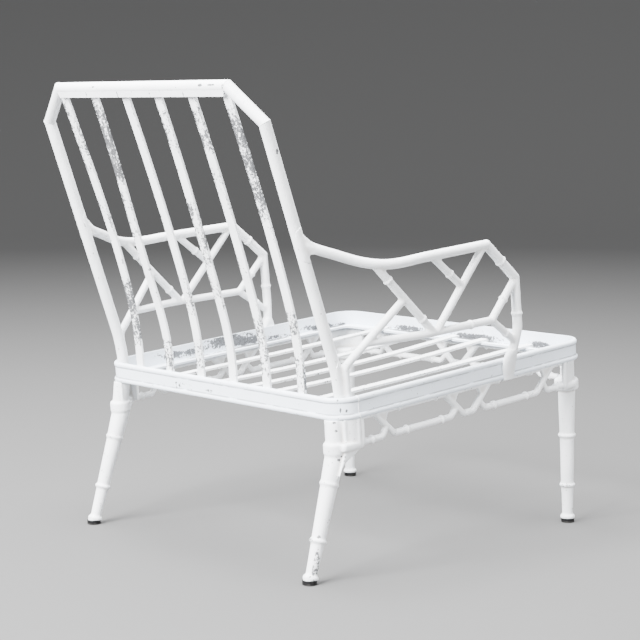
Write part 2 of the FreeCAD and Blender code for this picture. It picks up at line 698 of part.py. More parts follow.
lattice = {
    "rail": arm_rail,
    "corner": arm_corner,
    "post": arm_post,
    "diagonal": diagonal.cut(lower_rail),
    "brace": brace.cut(under_ledge).cut(stile),
    "lower_rail": lower_rail,
    "front_strut": rod(strut_top, strut_foot, ROD_SIDE_R),
    "short_strut": ringed_rod(short_top, short_foot, ROD_SMALL_R, SHORT_RING_SHARES),
    "fork": ringed_rod(fork_top, key_point, ROD_SIDE_R, FORK_RING_SHARES),
    "spur": ringed_rod(key_point, spur_end, ROD_SMALL_R, SPUR_RING_SHARES),
}
fitted = {}
for name, piece in lattice.items():
    for earlier in fitted.values():
        if piece.BoundBox.intersect(earlier.BoundBox):
            piece = piece.cut(earlier)
    fitted[name] = largest(piece)
for name, piece in fitted.items():
    nodes["arm_%s_left" % name] = piece
    nodes["arm_%s_right" % name] = mirrored(piece)


# Corner bracket: a bent beaded wall below the rim, with a collar of rolled bars and a round head under it
def bracket_wall(sign_y, side_end, cross_length, cross_set_back, corner_r, beads):
    outer_x = half_width - BRACKET_SIDE_SET_BACK
    outer_y = half_depth - cross_set_back
    inner_x = outer_x - BRACKET_WALL
    inner_y = outer_y - BRACKET_WALL
    bend_x = outer_x - corner_r
    bend_y = outer_y - corner_r
    cross_end = half_width - cross_length

    def at(x, y):
        return Vector(x, sign_y * y, -RIM_HEIGHT)

    def on_bend(reach, turn):
        return at(bend_x + reach * math.cos(turn), bend_y + reach * math.sin(turn))

    def bead_point(place):
        turn = (side_end + place - bend_y) / corner_r
        if turn < 0:
            return at(outer_x - BRACKET_BEAD_SINK, side_end + place)
        return on_bend(corner_r - BRACKET_BEAD_SINK, turn)
    outer_middle = on_bend(corner_r, math.pi / 4)
    inner_middle = on_bend(corner_r - BRACKET_WALL, math.pi / 4)
    edges = [
        Part.makeLine(at(outer_x, side_end), at(outer_x, bend_y)),
        Part.Arc(at(outer_x, bend_y), outer_middle, at(bend_x, outer_y)).toShape(),
        Part.makeLine(at(bend_x, outer_y), at(cross_end, outer_y)),
        Part.makeLine(at(cross_end, outer_y), at(cross_end, inner_y)),
        Part.makeLine(at(cross_end, inner_y), at(bend_x, inner_y)),
        Part.Arc(at(bend_x, inner_y), inner_middle, at(inner_x, bend_y)).toShape(),
        Part.makeLine(at(inner_x, bend_y), at(inner_x, side_end)),
        Part.makeLine(at(inner_x, side_end), at(outer_x, side_end)),
    ]
    pieces = [outline_face(edges).extrude(Vector(0, 0, -wall_height))]
    for place in beads:
        pieces.append(Part.makeCylinder(BRACKET_BEAD_R, wall_height, bead_point(place), -up_axis))
    return pieces


# Rounds the upper and lower edges of a level plate or disc
def rolled(solid, low, high):
    brims = []
    for edge in solid.Edges:
        if min(abs(edge.CenterOfMass.z - level) for level in (low, high)) < 0.01:
            brims.append(edge)
    return solid.makeFillet(COLLAR_ROLL_R, brims)


# A rolled bar of the collar, between two opposite corners seen from above
def collar_bar(x_low, x_high, y_low, y_high):
    corners = [
        Vector(x_high, y_high, collar_bottom),
        Vector(x_high, y_low, collar_bottom),
        Vector(x_low, y_low, collar_bottom),
        Vector(x_low, y_high, collar_bottom),
    ]
    plate = rounded_plate(corners, [COLLAR_END_R] * len(corners), COLLAR_HEIGHT)
    return rolled(plate, collar_bottom, collar_top)


def collar_head(x, y, radius):
    head_top = collar_top + COLLAR_HEAD_RISE
    disc = Part.makeCylinder(radius, head_top - lip_bottom, Vector(x, y, lip_bottom))
    return rolled(disc, lip_bottom, head_top)


wall_height = -RIM_HEIGHT - collar_middle
collar_x = half_width - COLLAR_SET_BACK
collar_y = half_depth - COLLAR_SET_BACK
rear_leg_x = half_width - REAR_LEG_INSET_X
rear_leg_y = half_depth - REAR_LEG_INSET_Y
front_leg_x = half_width - FRONT_LEG_INSET_X
front_leg_y = half_depth - FRONT_LEG_INSET_Y
rear_sizes = (BRACKET_REAR_LENGTH, BRACKET_SIDE_SET_BACK, BRACKET_REAR_CORNER_R, BRACKET_REAR_BEADS)
rear_pieces = bracket_wall(1, rear_reach, *rear_sizes)
flange_x = half_width - BRACKET_SIDE_SET_BACK - BRACKET_FLANGE_REACH
flange_corner = Vector(flange_x, rear_reach, -RIM_HEIGHT - wall_height)
flange_breadth = BRACKET_FLANGE_REACH - BRACKET_WALL / 2
rear_pieces.append(Part.makeBox(flange_breadth, BRACKET_FLANGE_THICKNESS, wall_height, flange_corner))
lean = Vector(BRACKET_POST_LEAN_X, BRACKET_POST_LEAN_Y, -wall_height)
post_head = Vector(rear_leg_x, rear_leg_y, -RIM_HEIGHT) - Vector(lean.x, lean.y, 0)
post_circle = Part.makeCircle(BRACKET_POST_R, post_head, up_axis)
rear_pieces.append(outline_face([post_circle]).extrude(lean))
rear_pieces.append(collar_head(rear_leg_x, rear_leg_y, COLLAR_REAR_HEAD_R))
rear_pieces.append(collar_bar(collar_x - COLLAR_DEPTH, collar_x, rear_reach, rear_leg_y + COLLAR_END_REACH))
rear_bracket = set_on_seat(joined(rear_pieces))
front_sizes = (BRACKET_FRONT_WALL_LENGTH, BRACKET_FRONT_SET_BACK, BRACKET_FRONT_CORNER_R, BRACKET_FRONT_BEADS)
front_pieces = bracket_wall(-1, front_reach, *front_sizes)
front_pieces.append(collar_head(front_leg_x, -front_leg_y, COLLAR_FRONT_HEAD_R))
front_side_end = -front_leg_y - COLLAR_END_REACH
front_pieces.append(collar_bar(collar_x - COLLAR_DEPTH, collar_x, front_side_end, -front_reach))
cross_start = half_width - BRACKET_FRONT_LENGTH
cross_finish = front_leg_x + COLLAR_END_REACH
front_pieces.append(collar_bar(cross_start, cross_finish, -collar_y, COLLAR_DEPTH - collar_y))
front_bracket = set_on_seat(joined(front_pieces))


# Tapered leg with bamboo rings, drawn upward from the floor
def leg_on_axis(length, top_r, upper_r):
    def bulge(z, core, peak):
        low = Vector(core - LEG_RING_STEP, 0, z - LEG_RING_HALF_WIDTH)
        high = Vector(core + LEG_RING_STEP / 2, 0, z + LEG_RING_HALF_WIDTH)
        return low, Part.Arc(low, Vector(peak, 0, z), high).toShape(), high
    start = Vector(0, 0, -SPARE)
    rim_low = Vector(LEG_FOOT_RING_R - LEG_FOOT_RING_INSET, 0, -SPARE)
    rim_middle = Vector(LEG_FOOT_RING_R - LEG_FOOT_RING_INSET, 0, GLIDE_HEIGHT)
    rim_peak = Vector(LEG_FOOT_RING_R, 0, GLIDE_HEIGHT + LEG_FOOT_RING_HEIGHT * 0.45)
    rim_high = Vector(LEG_FOOT_R, 0, GLIDE_HEIGHT + LEG_FOOT_RING_HEIGHT)
    low_start, low_arc, low_end = bulge(LEG_LOWER_RING_Z, LEG_LOWER_R, LEG_LOWER_RING_R)
    high_start, high_arc, high_end = bulge(LEG_UPPER_RING_Z, upper_r, LEG_UPPER_RING_R)
    top = Vector(top_r, 0, length)
    head = Vector(top_r, 0, length + SPARE)
    centre = Vector(0, 0, length + SPARE)
    edges = [
        Part.makeLine(start, rim_low),
        Part.makeLine(rim_low, rim_middle),
        Part.Arc(rim_middle, rim_peak, rim_high).toShape(),
        Part.makeLine(rim_high, low_start),
        low_arc,
        Part.makeLine(low_end, high_start),
        high_arc,
        Part.makeLine(high_end, top),
        Part.makeLine(top, head),
        Part.makeLine(head, centre),
        Part.makeLine(centre, start),
    ]
    return outline_face(edges).revolve(Vector(0, 0, 0), up_axis, 360)


def placed_leg(foot, top, top_r, upper_r):
    axis = top - foot
    leg = leg_on_axis(axis.Length, top_r, upper_r)
    leg.Placement = Placement(foot, Rotation(up_axis, axis))
    leg = leg.cut(beyond(from_seat(0, 0, lip_bottom), seat_up))
    leg = leg.cut(beyond(up_axis * GLIDE_HEIGHT, -up_axis))
    socket_r = GLIDE_STEM_R + GLIDE_STEM_CLEARANCE
    socket_height = GLIDE_STEM_HEIGHT + GLIDE_STEM_END_CLEARANCE
    return leg.cut(Part.makeCylinder(socket_r, socket_height, foot + up_axis * GLIDE_HEIGHT))


def glide(foot):
    disc = Part.makeCylinder(GLIDE_R, GLIDE_HEIGHT, foot)
    sole_edges = [edge for edge in disc.Edges if abs(edge.CenterOfMass.z) < 0.01]
    disc = disc.makeFillet(GLIDE_EDGE_R, sole_edges)
    stem_start = foot + up_axis * (GLIDE_HEIGHT / 2)
    stem = Part.makeCylinder(GLIDE_STEM_R, GLIDE_HEIGHT / 2 + GLIDE_STEM_HEIGHT, stem_start)
    return joined([disc, stem])


# A curved haunch on the outer side of the rear leg, running forward under the collar
def haunch():
    inner_x = rear_leg_x + HAUNCH_OUTSET - HAUNCH_THICKNESS

    def at(along, rise):
        return Vector(inner_x, rear_leg_y + along, lip_bottom + rise)
    curve = Part.BSplineCurve()
    curve.interpolate([at(*place) for place in HAUNCH_CURVE])
    level = COLLAR_LIP + HAUNCH_HEAD_SINK
    front_head = at(HAUNCH_CURVE[0][0], level)
    rear_head = at(HAUNCH_HEAD_END, level)
    foot = at(*HAUNCH_FOOT)
    edges = [
        Part.makeLine(front_head, at(*HAUNCH_CURVE[0])),
        curve.toShape(),
        Part.makeLine(at(*HAUNCH_CURVE[-1]), foot),
        Part.makeLine(foot, rear_head),
        Part.makeLine(rear_head, front_head),
    ]
    web = outline_face(edges).extrude(Vector(HAUNCH_THICKNESS, 0, 0))
    return set_on_seat(web).cut(rear_bracket)


rear_top = from_seat(rear_leg_x, rear_leg_y, lip_bottom)
rear_foot = Vector(rear_top.x + REAR_LEG_SPREAD, rear_top.y + REAR_LEG_SPLAY, 0)
rear_leg = placed_leg(rear_foot, rear_top, REAR_LEG_TOP_R, REAR_LEG_UPPER_R)
rear_leg = largest(joined([rear_leg, haunch()]))
front_top = from_seat(front_leg_x, -front_leg_y, lip_bottom)
front_foot = Vector(front_top.x, front_top.y - FRONT_LEG_SPLAY, 0)
front_leg = placed_leg(front_foot, front_top, FRONT_LEG_TOP_R, FRONT_LEG_UPPER_R)
corners = {"rear": (rear_bracket, rear_leg, rear_foot), "front": (front_bracket, front_leg, front_foot)}
for end, (bracket, leg, foot) in corners.items():
    kinds = {"bracket": bracket, "leg": leg, "glide": glide(foot)}
    for kind, shape in kinds.items():
        nodes["%s_%s_left" % (kind, end)] = shape
        nodes["%s_%s_right" % (kind, end)] = mirrored(shape)

# Origin at the middle of the whole chair, on the floor
box = FreeCAD.BoundBox()
for shape in nodes.values():
    box.add(shape.optimalBoundingBox(False, False))
shift = Vector(0, -(box.YMin + box.YMax) / 2.0, -box.ZMin)
for name, shape in nodes.items():
    shape.translate(shift)
    shape.exportStep("parts/%s.step" % name)
    print(name, len(shape.Solids), round(shape.Volume, 1), shape.isValid())
print("size", round(box.XLength, 2), round(box.YLength, 2), round(box.ZLength, 2))
print("shift", round(shift.y, 3))
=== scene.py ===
import math

import bmesh
import bpy
import numpy as np
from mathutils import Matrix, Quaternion, Vector
from mathutils.bvhtree import BVHTree


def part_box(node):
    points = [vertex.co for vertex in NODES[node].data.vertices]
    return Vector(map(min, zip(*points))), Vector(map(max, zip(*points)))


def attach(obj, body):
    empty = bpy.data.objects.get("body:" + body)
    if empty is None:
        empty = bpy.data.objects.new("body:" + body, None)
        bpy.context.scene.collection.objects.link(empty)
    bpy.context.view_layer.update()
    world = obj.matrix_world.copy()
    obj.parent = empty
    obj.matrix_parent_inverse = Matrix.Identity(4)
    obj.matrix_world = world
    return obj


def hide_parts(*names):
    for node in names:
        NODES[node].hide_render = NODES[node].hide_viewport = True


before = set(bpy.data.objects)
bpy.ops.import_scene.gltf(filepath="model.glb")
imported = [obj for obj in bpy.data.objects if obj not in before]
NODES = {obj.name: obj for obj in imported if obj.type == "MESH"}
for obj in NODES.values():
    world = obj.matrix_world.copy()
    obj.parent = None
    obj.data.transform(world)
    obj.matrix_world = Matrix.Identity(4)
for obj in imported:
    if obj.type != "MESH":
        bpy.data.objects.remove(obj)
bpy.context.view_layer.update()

bl_info = {
    "name": "Patio lounge chair",
    "version": (1, 0, 0),
    "blender": (4, 5, 0),
    "location": "3D View > Sidebar > Patio Chair",
    "description": "Worn paint, cast rod joints, weld beads and a stage for a metal patio lounge chair",
    "category": "Object",
}

SIDES = ("left", "right")
ENDS = ("rear", "front")
ARM_RODS = (
    "rail", "corner", "post", "diagonal", "brace",
    "lower_rail", "front_strut", "short_strut", "fork", "spur",
)

# Rubbed stretches of the back bars, from the sitter's right: height, half length, strength
BACK_BAR_RUBS = (
    ((0.70, 0.125, 0.165), (0.43, 0.03, 0.12), (0.34, 0.05, 0.12)),
    ((0.76, 0.06, 0.12), (0.66, 0.05, 0.06), (0.38, 0.08, 0.10)),
    ((0.76, 0.05, 0.09), (0.57, 0.08, 0.11), (0.47, 0.04, 0.09)),
    ((0.46, 0.05, 0.07), (0.35, 0.04, 0.10)),
    ((0.73, 0.10, 0.175), (0.60, 0.06, 0.09), (0.34, 0.04, 0.11)),
    ((0.74, 0.08, 0.10), (0.41, 0.08, 0.16), (0.60, 0.05, 0.07)),
)

# Rubbed places of the rim's inner faces and of its rear field: middle, reach, strength
RIM_RUBS = (
    ((0.317, -0.075, 0.322), (0.0125, 0.145, 0.026), 0.28),
    ((0.317, 0.055, 0.307), (0.0125, 0.12, 0.015), 0.23),
    ((0.317, -0.200, 0.318), (0.0125, 0.09, 0.010), 0.22),
    ((0.317, -0.315, 0.330), (0.0125, 0.10, 0.011), 0.25),
    ((-0.317, -0.02, 0.318), (0.0115, 0.20, 0.022), 0.19),
    ((0.140, -0.392, 0.3355), (0.090, 0.0125, 0.0115), 0.26),
    ((-0.060, -0.392, 0.3352), (0.120, 0.0125, 0.0115), 0.26),
    ((-0.222, -0.392, 0.3352), (0.045, 0.0125, 0.0110), 0.25),
    ((0.0175, 0.2368, 0.2861), (0.014, 0.008, 0.004), 0.17),
    ((0.100, 0.2367, 0.2850), (0.06, 0.008, 0.010), 0.09),
)

# Seat frame: slope, offsets of its level and middle, half width and depth, corner radius
SEAT_SLOPE = math.radians(4.5)
SEAT_LEVEL = 0.32716
SEAT_MIDDLE = -0.10741
SEAT_HALF = (0.332, 0.324)
SEAT_CORNER = 0.045

# Heights of the grooves beside the rim's beads, from the rim's top, where painted shade is laid
RIM_GROOVES = (-0.009, -0.029)

# Dark chips that stand alone: middle, reach
RIM_CHIPS = (
    ((-0.3161, 0.2252, 0.2902), (0.002, 0.003, 0.006)),
    ((-0.3226, 0.2172, 0.2888), (0.002, 0.004, 0.004)),
)
RAIL_CHIPS = (
    ((-0.176, 0.410, 0.8325), (0.009, 0.006, 0.0035)),
    ((-0.205, 0.410, 0.8325), (0.013, 0.006, 0.002)),
    ((-0.235, 0.410, 0.8295), (0.004, 0.006, 0.006)),
    ((0.120, 0.410, 0.8320), (0.005, 0.006, 0.002)),
)
TUBE_CHIPS = (
    ((-0.3115, 0.360, 0.726), (0.004, 0.005, 0.006)),
    ((-0.3101, 0.315, 0.579), (0.003, 0.004, 0.008)),
)
LEG_CHIPS = (
    ((-0.310, 0.234, 0.2687), (0.004, 0.005, 0.003)),
    ((-0.313, 0.2325, 0.2552), (0.003, 0.005, 0.003)),
    ((-0.3173, 0.225, 0.2122), (0.005, 0.005, 0.004)),
    ((-0.3186, 0.231, 0.2063), (0.003, 0.005, 0.003)),
    ((-0.3146, 0.2733, 0.0802), (0.004, 0.005, 0.004)),
)

# Stain of the top rail beside a back bar: reach, strength
RAIL_STAIN = ((0.0025, 0.02, 0.011), 0.17)

# Rubbed streaks of the rear legs: middle, reach, strength
LEG_RUBS = (
    ((-0.316, 0.287, 0.040), (0.0035, 0.020, 0.038), 0.17),
    ((0.316, 0.287, 0.040), (0.0035, 0.020, 0.036), 0.13),
)

# Reach of a back bar's rubs across and behind the bar
BAR_REACH = (0.05, 0.4)

# Noises of the paint: scale, detail, roughness
CLOUD_NOISE = (14.0, 3.0, 0.55)
LUMP_NOISE = (75.0, 3.0, 0.5)
GRIT_NOISE = (520.0, 2.0, 0.6)
PATCHY_NOISE = (62.0, 4.0, 0.6)
MOTTLE_NOISE = (215.0, 4.0, 0.66)

# Paint: levels of the chalked clouds, height of the grain, roughness and how clouds and grain add to it
CLOUD_LEVELS = (0.35, 0.70)
GRIT_DEPTH = 0.00006
PAINT_ROUGHNESS = (0.46, 0.14, 0.06)

# Wear: shares of two noises, then the levels where the paint starts to thin and is gone
PATCHY_SHARE = 0.42
MOTTLE_SHARE = 0.58
THIN_LEVELS = (0.60, 0.67)
BARE_LEVELS = (0.658, 0.676)
THIN_PAINT = (0.52, 0.54, 0.56, 1.0)
THIN_STRENGTH = 0.38

# Rubbed metal: levels of its stains, cover over the paint, metallic share
STAIN_LEVELS = (0.8, 1.2)
BARE_COVER = 0.95
BARE_METALLIC = 0.25

# Extra wear just inside a bar's edges and on the crests of a casting
EDGE_WEAR = 0.07
EDGE_START = (0.0035, 0.0010)
EDGE_END = (0.0006, 0.0001)
CREST_WEAR = 0.07

# Chips: cells per metre, growth, unevenness, softness, cover over the paint
CHIP_SCALE = 70.0
CHIP_GROWTH = 1.6
CHIP_UNEVEN = 0.5
CHIP_SOFT = 0.03
CHIP_COVER = 0.9

# Chips that stand alone: weight of the place, weight of the noise, levels of the edge
NICK_WEIGHT = 0.65
NICK_UNEVEN = 2.4
NICK_LEVELS = (0.40, 0.48)

# Share of a patch's reach that has its full strength
PATCH_CORE = 0.55

# Rim: depth of the outer field, half width of a groove's painted shade, where that painted shade breaks
# off, strengths of the painted groove shade and of the painted bluish skylight
RIM_FIELD = (0.0055, 0.0045)
GROOVE_HALF = (0.0004, 0.0018)
GROOVE_LEVELS = (0.30, 0.55)
GROOVE_SHADE = 0.8
RIM_SKYLIGHT = 0.8

# Dirt and painted shade in the hollows of the castings, painted shade under their rods: unevenness,
# levels, strength
GRIME_SHADE_UNEVEN = 0.9
GRIME_SHADE_LEVELS = (0.15, 0.85)
GRIME_SHADE_STRENGTH = 0.55

# Glides: black plastic, its dust near the floor, its scuffs and pores, its shine
GLIDE_BLACK = (0.006, 0.006, 0.0065, 1.0)
GLIDE_DUST = (0.045, 0.043, 0.041, 1.0)
GLIDE_DUST_HEIGHT = 0.004
GLIDE_DUST_RISE = 0.22
GLIDE_DUST_LEVELS = (0.52, 0.72)
SCUFF_NOISE = (160.0, 4.0, 0.65)
SCUFF_ALONG = (1.0, 1.0, 4.0)
SCUFF_DEPTH = 0.0003
PORE_NOISE = (900.0, 2.0, 0.5)
PORE_DEPTH = 0.00005
GLIDE_ROUGHNESS = (0.42, 0.35)
GLIDE_SHINE = 0.15

# Castings: merging distance, pace of the filling, rounds and scale of the relief marks, where painted
# shade starts on the downward faces and its strength
MERGE_DISTANCE = 0.000002
FILL_PACE = 0.7
RELIEF_ROUNDS = 8
RELIEF_SOFT_ROUNDS = 2
RELIEF_SCALE = 0.0006
UNDERSIDE_SHADE_START = 0.3
UNDERSIDE_SHADE_STRENGTH = 0.45

# Floor: steps of the curved edge and round the middle, merging distance, roughness
FLOOR_STEPS = 12
FLOOR_TURNS = 96
FLOOR_MERGE = 0.0001
FLOOR_ROUGHNESS = 0.85

# Lights: name, place, size, the stage setting that holds the power
LIGHTS = (
    ("key_light", (-0.2, 4.3, 3.0), 2.6, "key"),
    ("top_light", (0.3, 0.2, 4.2), 3.4, "top"),
    ("fill_light", (-3.8, -1.2, 1.9), 2.6, "fill"),
)
LIGHT_AIM = Vector((0.0, 0.0, 0.4))
SKY_COLOUR = (0.93, 0.96, 1.0, 1.0)

# Camera: focal length and picture width in pixels, sensor width, angles in degrees, place, reach
FOCAL_PIXELS = 1823.65
PICTURE_PIXELS = 640.0
SENSOR_WIDTH = 36.0
CAMERA_ANGLES = (227.28, 6.71, -0.09)
CAMERA_PLACE = (-2.5167, 2.3039, 0.7991)
CAMERA_REACH = 100.0


class PaintSettings(bpy.types.PropertyGroup):
    """Colours and depths of the old paint."""

    paint: bpy.props.FloatVectorProperty(
        name="Paint", description="White paint on the metal", subtype="COLOR",
        min=0.0, max=1.0, default=(0.83, 0.85, 0.87))
    chalk: bpy.props.FloatVectorProperty(
        name="Chalked paint", description="Paint that has weathered a little darker", subtype="COLOR",
        min=0.0, max=1.0, default=(0.75, 0.77, 0.79))
    # Painted skylight: a bluish tint over the rim's paint that stands in for cool light from the sky.
    rim_skylight: bpy.props.FloatVectorProperty(
        name="Rim paint", description="Cooler paint of the seat rim", subtype="COLOR",
        min=0.0, max=1.0, default=(0.74, 0.81, 0.90))
    # Painted shade: a dark tone laid along the rim's grooves in place of the shadow in its creases.
    groove_shade: bpy.props.FloatVectorProperty(
        name="Groove", description="Dirt along the grooves of the rim", subtype="COLOR",
        min=0.0, max=1.0, default=(0.24, 0.25, 0.27))
    # Dirt and painted shade: a warm dark tone for the hollows of the castings and the painted shade under
    # their rods.
    grime_and_shade: bpy.props.FloatVectorProperty(
        name="Grime", description="Warm dirt in the hollows and under the rods", subtype="COLOR",
        min=0.0, max=1.0, default=(0.50, 0.45, 0.40))
    bare: bpy.props.FloatVectorProperty(
        name="Rubbed metal", description="Dull metal where the paint is rubbed through", subtype="COLOR",
        min=0.0, max=1.0, default=(0.13, 0.134, 0.142))
    stain: bpy.props.FloatVectorProperty(
        name="Stained metal", description="Darkest tone of rubbed metal and of chips", subtype="COLOR",
        min=0.0, max=1.0, default=(0.03, 0.03, 0.033))
    lump_depth: bpy.props.FloatProperty(
        name="Lump depth", description="Height of the waves in the brushed coats", unit="LENGTH",
        min=0.0, default=0.0009)
    coat_depth: bpy.props.FloatProperty(
        name="Coat depth", description="Thickness of the paint at a chip's edge", unit="LENGTH",
        min=0.0, default=0.00025)


class CastSettings(bpy.types.PropertyGroup):
    """Softness of the cast rod joints."""

    cell: bpy.props.FloatProperty(
        name="Cell", description="Cell size of the cast surface", unit="LENGTH",
        min=0.0005, default=0.0016)
    even: bpy.props.IntProperty(
        name="Even", description="Rounds that even out the cells", min=0, default=2)
    fill: bpy.props.IntProperty(
        name="Fill", description="Rounds that fill the corners between rods", min=0, default=22)
    leg_fill: bpy.props.IntProperty(
        name="Leg fill", description="Rounds that fill the corners of a bracket and its leg",
        min=0, default=3)
    swell: bpy.props.FloatProperty(
        name="Swell", description="Growth that makes up for the evening", unit="LENGTH",
        min=0.0, default=0.00025)
    boss: bpy.props.FloatProperty(
        name="Boss", description="How far a cast root spreads over the tube that carries it",
        unit="LENGTH", min=0.0, default=0.014)


class BeadSettings(bpy.types.PropertyGroup):
    """Weld beads along the seams."""

    radius: bpy.props.FloatProperty(
        name="Radius", description="Radius of a weld bead", unit="LENGTH", min=0.0, default=0.0013)
    mitre: bpy.props.FloatProperty(
        name="Mitre radius", description="Radius of the dressed bead at a mitred tube", unit="LENGTH",
        min=0.0, default=0.0006)
    step: bpy.props.FloatProperty(
        name="Step", description="Distance between the ripples of a bead", unit="LENGTH",
        min=0.0005, default=0.0024)
    ripple: bpy.props.FloatProperty(
        name="Ripple", description="How much the bead's thickness varies", subtype="FACTOR",
        min=0.0, max=1.0, default=0.35)
    seed: bpy.props.IntProperty(name="Seed", description="Seed of the bead's unevenness", default=5)


class StageSettings(bpy.types.PropertyGroup):
    """Floor and light."""

    floor: bpy.props.FloatVectorProperty(
        name="Floor", description="Tone of the plain floor", subtype="COLOR",
        min=0.0, max=1.0, default=(0.085, 0.085, 0.085))
    flat: bpy.props.FloatProperty(
        name="Flat radius", description="Radius of the level floor", unit="LENGTH", default=7.0)
    rise: bpy.props.FloatProperty(
        name="Rise", description="Height and reach of the curved edge", unit="LENGTH", default=4.0)
    key: bpy.props.FloatProperty(
        name="Key light", description="Power of the large light behind the chair", unit="POWER",
        default=1900.0)
    top: bpy.props.FloatProperty(
        name="Top light", description="Power of the light overhead", unit="POWER", default=1300.0)
    fill: bpy.props.FloatProperty(
        name="Fill light", description="Power of the light beside the chair", unit="POWER", default=230.0)
    sky: bpy.props.FloatProperty(
        name="Sky", description="Strength of the even light from all round", default=0.20)


class Tone:
    """A shader socket that takes part in sums."""

    def __init__(self, finish, socket):
        self.finish = finish
        self.socket = socket

    def combine(self, operation, first, second):
        return self.finish.node("ShaderNodeMath", {"operation": operation}, {0: first, 1: second})

    def __add__(self, other):
        return self.combine("ADD", self, other)

    def __radd__(self, other):
        return self.combine("ADD", other, self)

    def __sub__(self, other):
        return self.combine("SUBTRACT", self, other)

    def __rsub__(self, other):
        return self.combine("SUBTRACT", other, self)

    def __mul__(self, other):
        return self.combine("MULTIPLY", self, other)

    def __rmul__(self, other):
        return self.combine("MULTIPLY", other, self)


class Finish:
    """The node tree of one finish."""

    def __init__(self, name):
        self.material = bpy.data.materials.new(name)
        self.material.use_nodes = True
        self.tree = self.material.node_tree
        self.tree.nodes.clear()

    def node(self, kind, settings=None, inputs=None, output=0):
        made = self.tree.nodes.new(kind)
        for key, value in (settings or {}).items():
            setattr(made, key, value)
        for key, value in (inputs or {}).items():
            if isinstance(value, Tone):
                self.tree.links.new(value.socket, made.inputs[key])
            else:
                made.inputs[key].default_value = value
        return Tone(self, made.outputs[output] if made.outputs else None)

    def place(self):
        return self.node("ShaderNodeTexCoord", output=3)

    def vector(self, operation, first, second, output=0):
        return self.node("ShaderNodeVectorMath", {"operation": operation}, {0: first, 1: second}, output)

    def noise(self, place, scale, detail, roughness):
        sizes = {"Vector": place, "Scale": scale, "Detail": detail, "Roughness": roughness}
        return self.node("ShaderNodeTexNoise", None, sizes)

    def smooth(self, value, low, high):
        ends = {"Value": value, "From Min": low, "From Max": high}
        return self.node("ShaderNodeMapRange", {"interpolation_type": "SMOOTHSTEP"}, ends)

    def mix(self, factor, first, second):
        return self.node("ShaderNodeMix", {"data_type": "RGBA"}, {0: factor, 6: first, 7: second}, 2)

    def patch(self, place, middle, reach):
        apart = self.vector("SUBTRACT", place, middle)
        share = self.vector("DIVIDE", apart, reach)
        distance = self.vector("LENGTH", share, (0.0, 0.0, 0.0), 1)
        return 1.0 - self.smooth(distance, PATCH_CORE, 1.0)

    def close(self, sockets):
        shader = self.node("ShaderNodeBsdfPrincipled", None, sockets)
        self.node("ShaderNodeOutputMaterial", None, {"Surface": shader})
        return self.material


def opaque(colour):
    return (colour[0], colour[1], colour[2], 1.0)


def rim_groove_shade(finish, place):
    """Painted shade: lines where the rim's outer field meets its two beads, darkened in place of the
    shadow in the creases.
    """
    sine, cosine = math.sin(SEAT_SLOPE), math.cos(SEAT_SLOPE)
    origin = (0.0, 0.0, 0.0)
    lift = finish.vector("DOT_PRODUCT", place, (0.0, sine, cosine), 1) - SEAT_LEVEL
    depth = finish.vector("DOT_PRODUCT", place, (0.0, cosine, -sine), 1) - SEAT_MIDDLE
    across = finish.node("ShaderNodeSeparateXYZ", None, {0: place})
    level = finish.node("ShaderNodeCombineXYZ", None, {0: across, 1: depth})
    start = (SEAT_HALF[0] - SEAT_CORNER, SEAT_HALF[1] - SEAT_CORNER, 0.0)
    past = finish.vector("SUBTRACT", finish.vector("ABSOLUTE", level, origin), start)
    past = finish.vector("LENGTH", finish.vector("MAXIMUM", past, origin), origin, 1)
    outer = finish.smooth(past, SEAT_CORNER - RIM_FIELD[0], SEAT_CORNER - RIM_FIELD[1])
    lines = 0.0
    for height in RIM_GROOVES:
        gap = finish.node("ShaderNodeMath", {"operation": "ABSOLUTE"}, {0: lift - height})
        lines = lines + (1.0 - finish.smooth(gap, *GROOVE_HALF))
    return lines * outer


